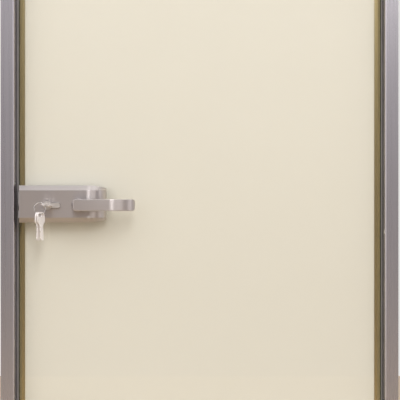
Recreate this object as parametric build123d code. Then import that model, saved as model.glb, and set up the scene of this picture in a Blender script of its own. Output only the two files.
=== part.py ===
from build123d import *
import os
from math import asin, cos, radians, sin, sqrt

# All-glass interior door in a slim rebated aluminium frame. Millimetres. X runs to the right as the pull
# side is seen, Y runs into the door and Z up. The origin is the middle of the foot of the lock-side jamb,
# on the floor.

# Leaf
LEAF_WIDTH = 709.0
LEAF_HEIGHT = 1972.0
GLASS_THICKNESS = 8.0
GLASS_ARRIS = 0.8
COAT_THICKNESS = 0.3
COAT_FIT = 0.02
PAD_THICKNESS = 0.5
PAD_INSET = 2.0
PAD_HOLE_CLEARANCE = 1.5

# How far a cutting shape is drawn past what it cuts
OVERRUN = 1.0

# Gaps round the leaf
LOCK_GAP = 6.5
HINGE_GAP = 5.0
HEAD_GAP = 5.0
FLOOR_GAP = 8.0

# Frame extrusion
FACE_WIDTH = 26.0
FRAME_DEPTH = 80.0
REBATE_DEPTH = 26.0
STOP_PROJECTION = 17.5
FRAME_WALL = 2.0
ARRIS_RADIUS = 3.0
STOP_EDGE_RADIUS = 1.0
FOOT_CAP_THICKNESS = 3.0
SPIGOT_HEIGHT = 12.0
SPIGOT_CLEARANCE = 0.2

# Seal and the undercut groove that holds it
SEAL_THICKNESS = 4.0
SEAL_WIDTH = 10.0
SEAL_TO_GLASS = 0.3
SEAL_CORNER = 1.4
GROOVE_INSET = 5.0
GROOVE_NECK_WIDTH = 3.0
GROOVE_NECK_DEPTH = 1.2
GROOVE_WIDTH = 5.0
GROOVE_DEPTH = 3.5
GROOVE_CLEARANCE = 0.15

# Wall fixing holes through the jambs
FIXING_RADIUS = 3.3
FIXING_LOW = 147.0
FIXING_TOP_DROP = 164.0

# Lock case: a ruled bevel leans in from the glass to a face of constant height
CASE_LENGTH = 171.4
CASE_DEPTH = 38.0
BACK_CASE_DEPTH = 30.0
BACK_CASE_INSET = 20.0
CASE_FACE_HEIGHT = 54.6
CASE_BEVEL_SLOPE = 0.229
CASE_NOSE_RADIUS = 39.0
CASE_END_DEPTH = 12.5
CASE_END_TAPER = 4.4
CASE_EDGE_BEVEL = 0.8
CASE_ABOVE_LEVER = 2.3

# Lever handle
LEVER_BACKSET = 117.8
LEVER_HEIGHT = 1050.0
LEVER_NECK_RADIUS = 9.0
LEVER_BUSH_RADIUS = 12.15
LEVER_BUSH_PROUD = 3.0
LEVER_BUSH_SEAT = 4.0
LEVER_STANDOFF = 15.0
LEVER_BAR_THICKNESS = 9.0
LEVER_BAR_HEIGHT = 22.4
LEVER_TAIL = 7.5
LEVER_STRAIGHT = 62.0
LEVER_REACH = 111.7
LEVER_BEND_RADIUS = 60.0
LEVER_CORNER = 5.5
RUNNING_CLEARANCE = 0.05
SPINDLE_SQUARE = 8.0
SPINDLE_SOCKET_DEPTH = 14.0
SPINDLE_BORE = 12.4
NECK_END_GAP = 0.3
GLASS_SPINDLE_HOLE_RADIUS = 12.0

# Profile cylinder lying on its side, with its key
CYLINDER_BACKSET = 59.7
CYLINDER_BELOW_LEVER = 0.5
CYLINDER_BARREL_RADIUS = 8.5
CYLINDER_PROFILE_LENGTH = 33.0
CYLINDER_TAIL_WIDTH = 10.0
CYLINDER_PROUD = 4.5
CYLINDER_CLEARANCE = 0.3
CYLINDER_GLASS_CLEARANCE = 2.5
PLUG_RADIUS = 6.5
PLUG_LENGTH = 31.0
PLUG_END_GAP = 0.3
KEY_TILT = 12.0
KEY_THICKNESS = 2.3
KEY_BOW_WIDTH = 21.0
KEY_BOW_LENGTH = 24.0
KEY_BOW_CORNER = 8.0
KEY_SLOT_WIDTH = 16.2
KEY_SLOT_HEIGHT = 6.0
KEY_RIM = 3.0
KEY_NECK_WIDTH = 11.0
KEY_NECK_LENGTH = 4.5
KEY_SHOULDER = 0.5
KEY_JOIN = 2.0
KEY_BLADE_WIDTH = 8.5
KEY_BLADE_LENGTH = 28.0
KEY_TIP = 3.4
KEY_TIP_CORNER = 1.0
KEY_CUTS = (1.6, 0.8, 2.2, 1.2, 1.9)
KEY_CUT_FLAT = 0.8
KEY_GROOVE_DEPTH = 0.6
KEY_GROOVE_WIDTH = 2.2
KEYWAY_CLEARANCE = 0.1

# Key ring and the two spare keys on it
RING_RADIUS = 11.0
RING_WIRE = 1.2
RING_SIDES = 40
RING_PIVOT_OFFSET = 8.3
RING_LEAN = 23.0
SPARE_TURN = 33.0
SPARE_FAN = 2.5
SPARE_SPACING = 3.4
SPARE_HANG = 0.5

# Latch, dead bolt and strike
BOLT_THICKNESS = 12.0
BOLT_LENGTH = 38.0
BOLT_CLEARANCE = 0.2
BOLT_PROUD = 1.0
LATCH_TALL = 28.0
LATCH_ABOVE_LEVER = 12.0
LATCH_BEVEL = 6.0
DEAD_BOLT_TALL = 15.0
DEAD_BOLT_BELOW_LEVER = 18.0
STRIKE_BELOW_LEVER = 60.0
STRIKE_TALL = 107.0
STRIKE_WIDTH = 20.0
STRIKE_HOLE_MARGIN = 1.5
STRIKE_BOX_DEPTH = 13.0
STRIKE_BOX_WALL = 1.5
STRIKE_FLANGE = 2.0
STRIKE_FLANGE_LAP = 3.0

# Hinges
HINGE_LOW_LINE = 296.0
HINGE_TOP_DROP = 241.0
HINGE_AXIS_ASIDE = 8.0
HINGE_AXIS_FRONT = 12.0
HINGE_FRAME_KNUCKLE_RADIUS = 9.0
HINGE_LEAF_KNUCKLE_RADIUS = 8.5
HINGE_LEAF_KNUCKLE_TALL = 40.0
HINGE_FRAME_KNUCKLE_TALL = 18.0
HINGE_KNUCKLE_GAP = 0.3
HINGE_PIN_RADIUS = 4.0
HINGE_PIN_FIT = 0.02
FLANGE_THICKNESS = 2.5
FLANGE_WIDTH = 20.0
FLANGE_TALL = 104.0
CLAMP_WIDTH = 65.0
CLAMP_TALL = 75.0
CLAMP_DEPTH = 14.0
CLAMP_EDGE_INSET = 4.5
CLAMP_BEVEL = 3.0
BACK_CLAMP_DEPTH = 11.0
BACK_CLAMP_STOP_GAP = 6.0
ARM_ROOT = 26.0
ARM_SHOULDER = 2.0
BOSS_RADIUS = 6.7
BOSS_HOLE_CLEARANCE = 0.8
BOSS_BACKSET = 42.0
BOSS_HALF_SPACING = 22.0

# Places worked out from the sizes above
OUTER_LOCK_X = -FACE_WIDTH / 2
REBATE_LOCK_X = OUTER_LOCK_X + FACE_WIDTH
LEAF_LOCK_X = REBATE_LOCK_X + LOCK_GAP
LEAF_HINGE_X = LEAF_LOCK_X + LEAF_WIDTH
REBATE_HINGE_X = LEAF_HINGE_X + HINGE_GAP
OUTER_HINGE_X = REBATE_HINGE_X + FACE_WIDTH
FRAME_FRONT_Y = -FRAME_DEPTH / 2
GLASS_FRONT_Y = FRAME_FRONT_Y + REBATE_DEPTH
GLASS_BACK_Y = GLASS_FRONT_Y + GLASS_THICKNESS
STOP_FRONT_V = REBATE_DEPTH + GLASS_THICKNESS + SEAL_THICKNESS
STOP_EDGE_U = FACE_WIDTH + STOP_PROJECTION
BOLT_MIDDLE_Y = (FRAME_FRONT_Y + GLASS_FRONT_Y) / 2
LEAF_TOP_Z = FLOOR_GAP + LEAF_HEIGHT
REBATE_TOP_Z = LEAF_TOP_Z + HEAD_GAP
FRAME_TOP_Z = REBATE_TOP_Z + FACE_WIDTH
LIGHT_LOCK_X = REBATE_LOCK_X + STOP_PROJECTION
LIGHT_HINGE_X = REBATE_HINGE_X - STOP_PROJECTION
LIGHT_TOP_Z = REBATE_TOP_Z - STOP_PROJECTION
COAT_FRONT_Y = GLASS_BACK_Y + COAT_FIT
COAT_BACK_Y = COAT_FRONT_Y + COAT_THICKNESS
LEVER_X = LEAF_LOCK_X + LEVER_BACKSET
CASE_CENTRE_HEIGHT = LEVER_HEIGHT + CASE_ABOVE_LEVER
CYLINDER_HEIGHT = LEVER_HEIGHT - CYLINDER_BELOW_LEVER
LATCH_HEIGHT = LEVER_HEIGHT + LATCH_ABOVE_LEVER
DEAD_BOLT_HEIGHT = LEVER_HEIGHT - DEAD_BOLT_BELOW_LEVER
STRIKE_BOTTOM = LEVER_HEIGHT - STRIKE_BELOW_LEVER
CYLINDER_X = LEAF_LOCK_X + CYLINDER_BACKSET
CYLINDER_FRONT = CASE_DEPTH + CYLINDER_PROUD
CYLINDER_BACK_Y = COAT_BACK_Y + BACK_CASE_DEPTH + CYLINDER_PROUD
HINGE_X = REBATE_HINGE_X + HINGE_AXIS_ASIDE
HINGE_Y = FRAME_FRONT_Y - HINGE_AXIS_FRONT
HINGE_HEIGHTS = [FLOOR_GAP + HINGE_LOW_LINE, LEAF_TOP_Z - HINGE_TOP_DROP]


def block(x0, x1, y0, y1, z0, z1):
    centre = Pos((x0 + x1) / 2, (y0 + y1) / 2, (z0 + z1) / 2)
    return centre * Box(abs(x1 - x0), abs(y1 - y0), abs(z1 - z0))


def rod_y(x, z, radius, y0, y1):
    return Pos(x, (y0 + y1) / 2, z) * Rot(90, 0, 0) * Cylinder(radius, y1 - y0)


def rod_x(y, z, radius, x0, x1):
    return Pos((x0 + x1) / 2, y, z) * Rot(0, 90, 0) * Cylinder(radius, x1 - x0)


def rod_z(x, y, radius, z0, z1):
    return Pos(x, y, (z0 + z1) / 2) * Cylinder(radius, z1 - z0)


def outline(*points):
    return make_face(Polyline(*points, close=True))


def along_y(face_xz, y0, y1):
    """A shape drawn as x and z, standing from y0 to y1."""
    plane = Plane(origin=(0, y1, 0), x_dir=(1, 0, 0), z_dir=(0, -1, 0))
    return extrude(plane * face_xz, amount=y1 - y0)


def rounded(face, corner, radius):
    return fillet(face.vertices().sort_by_distance(corner)[0], radius)


# The frame section is drawn as u from the wall side towards the opening and v back from the front face.
def frame_outline():
    face = outline(
        (0, 0), (FACE_WIDTH, 0), (FACE_WIDTH, STOP_FRONT_V), (STOP_EDGE_U, STOP_FRONT_V),
        (STOP_EDGE_U, FRAME_DEPTH), (0, FRAME_DEPTH),
    )
    face = rounded(face, (FACE_WIDTH, 0), ARRIS_RADIUS)
    face = rounded(face, (STOP_EDGE_U, STOP_FRONT_V), STOP_EDGE_RADIUS)
    return rounded(face, (STOP_EDGE_U, FRAME_DEPTH), STOP_EDGE_RADIUS)


def rectangle(u0, u1, v0, v1):
    return Pos((u0 + u1) / 2, (v0 + v1) / 2) * Rectangle(u1 - u0, v1 - v0)


def frame_chambers(shrink=0.0):
    web = STOP_FRONT_V + GROOVE_DEPTH
    front = (FRAME_WALL, FACE_WIDTH - FRAME_WALL, FRAME_WALL, web)
    back = (FRAME_WALL, STOP_EDGE_U - FRAME_WALL, web + FRAME_WALL, FRAME_DEPTH - FRAME_WALL)
    return [rectangle(u0 + shrink, u1 - shrink, v0 + shrink, v1 - shrink) for u0, u1, v0, v1 in (front, back)]


def groove_section(clearance=0.0):
    middle = FACE_WIDTH + GROOVE_INSET
    neck = GROOVE_NECK_WIDTH / 2 - clearance
    wide = GROOVE_WIDTH / 2 - clearance
    neck_end = STOP_FRONT_V + GROOVE_NECK_DEPTH
    return rectangle(middle - neck, middle + neck, STOP_FRONT_V, neck_end + clearance) + rectangle(
        middle - wide, middle + wide, neck_end + clearance, STOP_FRONT_V + GROOVE_DEPTH - clearance
    )


def frame_section():
    section = frame_outline() - groove_section()
    for chamber in frame_chambers():
        section -= chamber
    return section


def seal_section():
    """A soft strip with rounded lips, held by a barbed foot in the groove."""
    front = STOP_FRONT_V - SEAL_THICKNESS + SEAL_TO_GLASS
    near = FACE_WIDTH + SEAL_TO_GLASS
    far = FACE_WIDTH + SEAL_WIDTH
    head = rectangle(near, far, front, STOP_FRONT_V)
    head = rounded(head, (near, front), SEAL_CORNER)
    head = rounded(head, (far, front), SEAL_CORNER)
    return head + groove_section(GROOVE_CLEARANCE)


def head_wedge():
    """The space above both mitre joints."""
    drop = STOP_EDGE_U + FACE_WIDTH
    face = outline(
        (OUTER_LOCK_X, FRAME_TOP_Z), (OUTER_HINGE_X, FRAME_TOP_Z),
        (OUTER_HINGE_X - drop, FRAME_TOP_Z - drop), (OUTER_LOCK_X + drop, FRAME_TOP_Z - drop),
    )
    return along_y(face, -FRAME_DEPTH, FRAME_DEPTH)


def lock_post(section, bottom):
    post = extrude(Pos(OUTER_LOCK_X, FRAME_FRONT_Y, bottom) * section, amount=FRAME_TOP_Z - bottom)
    return post - head_wedge()


def hinge_post(section, bottom):
    middle = (OUTER_LOCK_X + OUTER_HINGE_X) / 2
    return mirror(lock_post(section, bottom), about=Plane.YZ.offset(middle))


def head_rail(section):
    plane = Plane(origin=(OUTER_LOCK_X, FRAME_FRONT_Y, FRAME_TOP_Z), x_dir=(0, 0, -1), z_dir=(1, 0, 0))
    return extrude(plane * section, amount=OUTER_HINGE_X - OUTER_LOCK_X) & head_wedge()


def fixing_holes(x0, x1, count):
    step = (FRAME_TOP_Z - FIXING_TOP_DROP - FIXING_LOW) / (count - 1)
    heights = [FIXING_LOW + i * step for i in range(count)]
    return Compound(children=[rod_x(BOLT_MIDDLE_Y, z, FIXING_RADIUS, x0, x1) for z in heights])


def strike_span_y():
    return BOLT_MIDDLE_Y - STRIKE_WIDTH / 2, BOLT_MIDDLE_Y + STRIKE_WIDTH / 2


def bolt_span_y(margin=0.0):
    half = BOLT_THICKNESS / 2 + margin
    return BOLT_MIDDLE_Y - half, BOLT_MIDDLE_Y + half


def jamb_lock_side():
    y0, y1 = strike_span_y()
    inside = REBATE_LOCK_X - FRAME_WALL - OVERRUN
    window = block(inside, REBATE_LOCK_X + OVERRUN, y0, y1, STRIKE_BOTTOM, STRIKE_BOTTOM + STRIKE_TALL)
    holes = fixing_holes(OUTER_LOCK_X - OVERRUN, REBATE_LOCK_X + OVERRUN, 2)
    return lock_post(frame_section(), FOOT_CAP_THICKNESS) - window - holes


def jamb_hinge_side():
    holes = fixing_holes(REBATE_HINGE_X - OVERRUN, OUTER_HINGE_X + OVERRUN, 3)
    return hinge_post(frame_section(), FOOT_CAP_THICKNESS) - holes


def foot_cap():
    """A plate under the jamb with a spigot in each chamber."""
    plate = extrude(Pos(OUTER_LOCK_X, FRAME_FRONT_Y, 0) * frame_outline(), amount=FOOT_CAP_THICKNESS)
    for chamber in frame_chambers(SPIGOT_CLEARANCE):
        at = Pos(OUTER_LOCK_X, FRAME_FRONT_Y, FOOT_CAP_THICKNESS)
        plate += extrude(at * chamber, amount=SPIGOT_HEIGHT)
    return plate


def strike_plate():
    y0, y1 = strike_span_y()
    top = STRIKE_BOTTOM + STRIKE_TALL
    plate = block(REBATE_LOCK_X - FRAME_WALL, REBATE_LOCK_X, y0, y1, STRIKE_BOTTOM, top)
    for height, tall in ((LATCH_HEIGHT, LATCH_TALL), (DEAD_BOLT_HEIGHT, DEAD_BOLT_TALL)):
        plate -= strike_hole(height, tall)
    return plate


def strike_hole(height, tall):
    y0, y1 = bolt_span_y(STRIKE_HOLE_MARGIN)
    half = tall / 2 + STRIKE_HOLE_MARGIN
    inside = REBATE_LOCK_X - FRAME_WALL - OVERRUN
    return block(inside, REBATE_LOCK_X + OVERRUN, y0, y1, height - half, height + half)


def strike_box():
    """A cup behind the strike plate whose flange laps the edge of the window from inside."""
    y0, y1 = strike_span_y()
    face = REBATE_LOCK_X - FRAME_WALL
    lap = STRIKE_FLANGE_LAP
    front = max(y0 - lap, FRAME_FRONT_Y + FRAME_WALL)
    flange = block(
        face - STRIKE_FLANGE, face, front, y1 + lap, STRIKE_BOTTOM - lap, STRIKE_BOTTOM + STRIKE_TALL + lap
    )
    c0, c1 = bolt_span_y(STRIKE_HOLE_MARGIN)
    low = DEAD_BOLT_HEIGHT - DEAD_BOLT_TALL / 2 - STRIKE_HOLE_MARGIN
    high = LATCH_HEIGHT + LATCH_TALL / 2 + STRIKE_HOLE_MARGIN
    wall = STRIKE_BOX_WALL
    back = face - STRIKE_BOX_DEPTH
    cup = block(back - wall, face, c0 - wall, c1 + wall, low - wall, high + wall)
    return flange + cup - block(back, face + OVERRUN, c0, c1, low, high)


# Euro profile lying on its side: a round barrel with its tail towards the lever.
def euro_profile(clearance=0.0):
    radius = CYLINDER_BARREL_RADIUS + clearance
    half = CYLINDER_TAIL_WIDTH / 2 + clearance
    end = CYLINDER_PROFILE_LENGTH - CYLINDER_BARREL_RADIUS - CYLINDER_TAIL_WIDTH / 2
    tail = rectangle(0, end, -half, half) + Pos(end, 0) * Circle(half)
    return Pos(CYLINDER_X, CYLINDER_HEIGHT) * (Circle(radius) + tail)


def cylinder_tunnel(clearance, y0, y1):
    return along_y(euro_profile(clearance), y0, y1)


def glass_openings(y0, y1):
    """What is cut through the pane: cylinder slot, spindle hole and the hinge boss holes."""
    cuts = cylinder_tunnel(CYLINDER_GLASS_CLEARANCE, y0, y1)
    cuts += rod_y(LEVER_X, LEVER_HEIGHT, GLASS_SPINDLE_HOLE_RADIUS, y0, y1)
    for height in HINGE_HEIGHTS:
        for x, z in boss_places(height):
            cuts += rod_y(x, z, BOSS_RADIUS + BOSS_HOLE_CLEARANCE, y0, y1)
    return cuts


def glass_pane():
    pane = block(LEAF_LOCK_X, LEAF_HINGE_X, GLASS_FRONT_Y, GLASS_BACK_Y, FLOOR_GAP, LEAF_TOP_Z)
    pane = chamfer(pane.faces().filter_by(Axis.Y).edges(), GLASS_ARRIS)
    return pane - glass_openings(GLASS_FRONT_Y - OVERRUN, GLASS_BACK_Y + OVERRUN)


def cream_coat():
    """The colour coat on the back of the pane. It ends where the stop laps the glass."""
    coat = block(
        LIGHT_LOCK_X, LIGHT_HINGE_X, COAT_FRONT_Y, COAT_BACK_Y, FLOOR_GAP + GLASS_ARRIS, LIGHT_TOP_Z
    )
    return coat - coat_windows()


def coat_windows():
    """Bare glass under the lock case and the hinge clamps."""
    y0, y1 = COAT_FRONT_Y - OVERRUN, COAT_BACK_Y + OVERRUN
    half = GLASS_SPINDLE_HOLE_RADIUS + PAD_HOLE_CLEARANCE
    windows = block(
        CYLINDER_X - half, LEVER_X + half, y0, y1, LEVER_HEIGHT - half, LEVER_HEIGHT + half
    )
    reach = BOSS_RADIUS + PAD_HOLE_CLEARANCE
    for height in HINGE_HEIGHTS:
        (x, low), (x, high) = boss_places(height)
        windows += block(x - reach, x + reach, y0, y1, low - reach, high + reach)
    return windows


# Hardware is drawn standing out from y = 0 towards -Y, then set on the front or mirrored onto the back.
def on_front(part):
    return Pos(0, GLASS_FRONT_Y, 0) * part


def on_back(part):
    return Pos(0, COAT_BACK_Y, 0) * mirror(part, about=Plane.XZ)


def case_plan(depth, start):
    """The case seen from above: straight front, then one arc down to a shallow end."""
    end_x = LEAF_LOCK_X + CASE_LENGTH
    sink = CASE_NOSE_RADIUS - depth + CASE_END_DEPTH
    run = sqrt(CASE_NOSE_RADIUS**2 - sink**2)
    turn_x = end_x - run
    angle = asin(run / CASE_NOSE_RADIUS)
    half = angle / 2
    centre_y = -depth + CASE_NOSE_RADIUS
    middle = (turn_x + CASE_NOSE_RADIUS * sin(half), centre_y - CASE_NOSE_RADIUS * cos(half))
    lines = Line((start, 0), (start, -depth)) + Line((start, -depth), (turn_x, -depth))
    lines += ThreePointArc((turn_x, -depth), middle, (end_x, -CASE_END_DEPTH))
    lines += Line((end_x, -CASE_END_DEPTH), (end_x, 0)) + Line((end_x, 0), (start, 0))
    return make_face(lines)


def case_body(depth, inset):
    """Constant face height, with bevels that are the face's edge carried back along one slanted line."""
    start = LEAF_LOCK_X + inset
    plan = case_plan(depth, start - OVERRUN)
    half = CASE_FACE_HEIGHT / 2
    middle = extrude(plan, amount=half, both=True)
    reach = depth * sqrt(1 + CASE_BEVEL_SLOPE**2)
    slant = Vector(0, 1, CASE_BEVEL_SLOPE).normalized()
    bevel = extrude(Pos(0, 0, half) * plan, amount=reach, dir=slant)
    body = middle + bevel + mirror(bevel, about=Plane.XY)
    end = start + CASE_LENGTH
    tall = depth + half
    body &= block(start - OVERRUN, end, -depth - OVERRUN, -PAD_THICKNESS, -tall, tall)
    slant = outline(
        (start - 2 * OVERRUN, 0), (start, 0), (start + CASE_END_TAPER, -depth), (start - 2 * OVERRUN, -depth)
    )
    body -= extrude(slant, amount=tall, both=True)
    edges = body.edges().filter_by(lambda edge: edge.center().Y < -PAD_THICKNESS - CASE_EDGE_BEVEL)
    return Pos(0, 0, CASE_CENTRE_HEIGHT) * chamfer(edges, CASE_EDGE_BEVEL)


def lock_pad(inset):
    """Two strips between the case and the glass, above and below the lever and the cylinder."""
    start = LEAF_LOCK_X + inset + PAD_INSET
    end = LEAF_LOCK_X + CASE_LENGTH - PAD_INSET
    low = CASE_CENTRE_HEIGHT - CASE_FACE_HEIGHT / 2
    high = CASE_CENTRE_HEIGHT + CASE_FACE_HEIGHT / 2
    reach = GLASS_SPINDLE_HOLE_RADIUS + PAD_HOLE_CLEARANCE
    strip = block(start, end, -PAD_THICKNESS, 0, low, LEVER_HEIGHT - reach)
    return strip + block(start, end, -PAD_THICKNESS, 0, LEVER_HEIGHT + reach, high)


def case_cuts(depth):
    """Cylinder tunnel, spindle bore and the seat of the lever bush."""
    cuts = cylinder_tunnel(CYLINDER_CLEARANCE, -depth - OVERRUN, 0)
    half = SPINDLE_BORE / 2
    cuts += block(LEVER_X - half, LEVER_X + half, -depth, 0, LEVER_HEIGHT - half, LEVER_HEIGHT + half)
    cuts += rod_y(LEVER_X, LEVER_HEIGHT, LEVER_BUSH_RADIUS, -depth - OVERRUN, -depth + LEVER_BUSH_SEAT)
    return cuts


def bolt_block(height, tall, clearance, x0, x1):
    y0, y1 = bolt_span_y(clearance)
    half = tall / 2 + clearance
    return block(x0, x1, y0, y1, height - half, height + half)


def end_face_x(y):
    """Where the slanting lock-side end of the front case lies at a given y."""
    return LEAF_LOCK_X + CASE_END_TAPER * (GLASS_FRONT_Y - y) / CASE_DEPTH


def bolt_front_x():
    return end_face_x(BOLT_MIDDLE_Y) - BOLT_PROUD


def lock_case_front():
    case = on_front(case_body(CASE_DEPTH, 0) - case_cuts(CASE_DEPTH))
    near = LEAF_LOCK_X - OVERRUN
    deep = bolt_front_x() + BOLT_LENGTH
    case -= bolt_block(LATCH_HEIGHT, LATCH_TALL, BOLT_CLEARANCE, near, deep)
    case -= bolt_block(DEAD_BOLT_HEIGHT, DEAD_BOLT_TALL, BOLT_CLEARANCE, near, deep)
    return case


def lock_case_back():
    return on_back(case_body(BACK_CASE_DEPTH, BACK_CASE_INSET) - case_cuts(BACK_CASE_DEPTH))


def latch_bolt():
    """The sprung latch with its bevelled nose, drawn in."""
    x0 = bolt_front_x()
    latch = bolt_block(LATCH_HEIGHT, LATCH_TALL, 0, x0, x0 + BOLT_LENGTH)
    y1 = bolt_span_y()[1]
    nose = outline((x0, y1 - LATCH_BEVEL), (x0 - OVERRUN, y1), (x0 + LATCH_BEVEL, y1))
    cut = extrude(Pos(0, 0, LATCH_HEIGHT - LATCH_TALL) * nose, amount=LATCH_TALL * 2)
    return latch - cut


def dead_bolt():
    x0 = bolt_front_x()
    return bolt_block(DEAD_BOLT_HEIGHT, DEAD_BOLT_TALL, 0, x0, x0 + BOLT_LENGTH)


def lever_bush(depth):
    outer = rod_y(LEVER_X, LEVER_HEIGHT, LEVER_BUSH_RADIUS, -depth - LEVER_BUSH_PROUD, -depth + LEVER_BUSH_SEAT)
    bore = LEVER_NECK_RADIUS + RUNNING_CLEARANCE
    return outer - rod_y(LEVER_X, LEVER_HEIGHT, bore, -depth - LEVER_BUSH_PROUD - OVERRUN, 0)


def lever_plan(depth):
    """The bar from above: straight over the case, then bent back towards the glass."""
    back = -depth - LEVER_STANDOFF
    front = back - LEVER_BAR_THICKNESS
    outer = LEVER_BEND_RADIUS
    inner = outer - LEVER_BAR_THICKNESS
    centre = Vector(LEVER_X + LEVER_STRAIGHT, front + outer)
    sweep = asin((LEVER_REACH - LEVER_STRAIGHT) / outer)

    def at(radius, angle):
        return centre + Vector(radius * sin(angle), -radius * cos(angle))

    tail = LEVER_X - LEVER_TAIL
    lines = Line((tail, back), (tail, front)) + Line((tail, front), at(outer, 0))
    lines += ThreePointArc(at(outer, 0), at(outer, sweep / 2), at(outer, sweep))
    lines += Line(at(outer, sweep), at(inner, sweep))
    lines += ThreePointArc(at(inner, sweep), at(inner, sweep / 2), at(inner, 0))
    lines += Line(at(inner, 0), (tail, back))
    return make_face(lines)


def lever(depth):
    """The bar, rounded at its corners as seen from the front, on a neck with the spindle's socket."""
    half = LEVER_BAR_HEIGHT / 2
    bar = Pos(0, 0, LEVER_HEIGHT) * extrude(lever_plan(depth), amount=half, both=True)
    length = LEVER_TAIL + LEVER_REACH
    middle = LEVER_X - LEVER_TAIL + length / 2
    front_view = Pos(middle, LEVER_HEIGHT) * RectangleRounded(length, LEVER_BAR_HEIGHT, LEVER_CORNER)
    far = depth + LEVER_STANDOFF + LEVER_BAR_THICKNESS + OVERRUN
    bar &= along_y(front_view, -far, 0)
    bush_floor = -depth + LEVER_BUSH_SEAT - NECK_END_GAP
    neck = rod_y(LEVER_X, LEVER_HEIGHT, LEVER_NECK_RADIUS, -depth - LEVER_STANDOFF, bush_floor)
    half = SPINDLE_SQUARE / 2
    socket = block(
        LEVER_X - half, LEVER_X + half, bush_floor - SPINDLE_SOCKET_DEPTH, bush_floor + OVERRUN,
        LEVER_HEIGHT - half, LEVER_HEIGHT + half,
    )
    return bar + neck - socket


def spindle():
    half = SPINDLE_SQUARE / 2
    floor = LEVER_BUSH_SEAT - NECK_END_GAP - SPINDLE_SOCKET_DEPTH
    y0 = GLASS_FRONT_Y - CASE_DEPTH + floor
    y1 = COAT_BACK_Y + BACK_CASE_DEPTH - floor
    return block(LEVER_X - half, LEVER_X + half, y0, y1, LEVER_HEIGHT - half, LEVER_HEIGHT + half)


def plug_bore(y0, y1):
    return rod_y(CYLINDER_X, CYLINDER_HEIGHT, PLUG_RADIUS + RUNNING_CLEARANCE, y0, y1)


def cylinder_body():
    y0 = GLASS_FRONT_Y - CYLINDER_FRONT
    body = cylinder_tunnel(0, y0, CYLINDER_BACK_Y)
    deep = PLUG_LENGTH + PLUG_END_GAP
    body -= plug_bore(y0 - OVERRUN, y0 + deep)
    return body - plug_bore(CYLINDER_BACK_Y - deep, CYLINDER_BACK_Y + OVERRUN)


def keyway(tilt, y0, y1):
    half_width = KEY_BLADE_WIDTH / 2 + KEYWAY_CLEARANCE
    half_thick = KEY_THICKNESS / 2 + KEYWAY_CLEARANCE
    slot = block(-half_width, half_width, y0, y1, -half_thick, half_thick)
    return Pos(CYLINDER_X, 0, CYLINDER_HEIGHT) * Rot(0, tilt, 0) * slot


def cylinder_plug(y0, tilt):
    plug = rod_y(CYLINDER_X, CYLINDER_HEIGHT, PLUG_RADIUS, y0, y0 + PLUG_LENGTH)
    return plug - keyway(tilt, y0 - OVERRUN, y0 + PLUG_LENGTH + OVERRUN)


def cylinder_plug_front():
    return cylinder_plug(GLASS_FRONT_Y - CYLINDER_FRONT, KEY_TILT)


def cylinder_plug_back():
    return cylinder_plug(CYLINDER_BACK_Y - PLUG_LENGTH, 0)


def key_blank():
    """A flat key along Y: bow towards -Y, shoulder at y = 0, cut blade towards +Y."""
    bow_near = KEY_JOIN - KEY_NECK_LENGTH
    bow_middle = bow_near - KEY_BOW_LENGTH / 2
    bow = Pos(0, bow_middle) * RectangleRounded(KEY_BOW_WIDTH, KEY_BOW_LENGTH, KEY_BOW_CORNER)
    neck = rectangle(-KEY_NECK_WIDTH / 2, KEY_NECK_WIDTH / 2, bow_near - KEY_JOIN, -KEY_SHOULDER)
    half = KEY_BLADE_WIDTH / 2
    end = KEY_BLADE_LENGTH
    blade = outline(
        (-half, -KEY_JOIN), (half, -KEY_JOIN), (half, end - KEY_TIP), (half - KEY_TIP, end),
        (KEY_TIP_CORNER - half, end), (-half, end - KEY_TIP_CORNER),
    )
    shape = bow + neck + blade - Pos(0, key_slot_y()) * SlotOverall(KEY_SLOT_WIDTH, KEY_SLOT_HEIGHT)
    pitch = (end - KEY_TIP) / (len(KEY_CUTS) + 1)
    for number, cut in enumerate(KEY_CUTS):
        y = (number + 1) * pitch
        flat = KEY_CUT_FLAT / 2
        wide = cut + flat
        shape -= outline((half, y - wide), (half, y + wide), (half - cut, y + flat), (half - cut, y - flat))
    return shape


def key_slot_y():
    bow_far = KEY_JOIN - KEY_NECK_LENGTH - KEY_BOW_LENGTH
    return bow_far + KEY_RIM + KEY_SLOT_HEIGHT / 2


def key():
    """The blank with one groove along each side of the blade."""
    half = KEY_THICKNESS / 2
    solid = extrude(Pos(0, 0, -half) * key_blank(), amount=KEY_THICKNESS)
    wide = KEY_GROOVE_WIDTH
    far = KEY_BLADE_LENGTH + OVERRUN
    solid -= block(-wide, 0, KEY_SHOULDER, far, half - KEY_GROOVE_DEPTH, half + KEY_GROOVE_DEPTH)
    return solid - block(0, wide, KEY_SHOULDER, far, -half - KEY_GROOVE_DEPTH, KEY_GROOVE_DEPTH - half)


def key_in_lock():
    y = GLASS_FRONT_Y - CYLINDER_FRONT
    return Pos(CYLINDER_X, y, CYLINDER_HEIGHT) * Rot(0, KEY_TILT, 0) * key()


# The ring hangs on the left rim of the bow that stands in the lock.
def rim_pivot():
    lateral = KEY_BOW_WIDTH / 2 - (KEY_BOW_WIDTH - KEY_SLOT_WIDTH) / 4
    tilt = radians(KEY_TILT)
    y = GLASS_FRONT_Y - CYLINDER_FRONT + key_slot_y()
    return Vector(CYLINDER_X - lateral * cos(tilt), y, CYLINDER_HEIGHT + lateral * sin(tilt))


def ring_centre():
    lean = radians(RING_LEAN)
    return rim_pivot() - Vector(sin(lean), 0, cos(lean)) * RING_PIVOT_OFFSET


def key_ring():
    centre = ring_centre()
    half = RING_WIRE / 2
    ring = RegularPolygon(RING_RADIUS + half, RING_SIDES) - RegularPolygon(RING_RADIUS - half, RING_SIDES)
    return along_y(Pos(centre.X, centre.Z) * ring, centre.Y - half, centre.Y + half)


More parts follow.
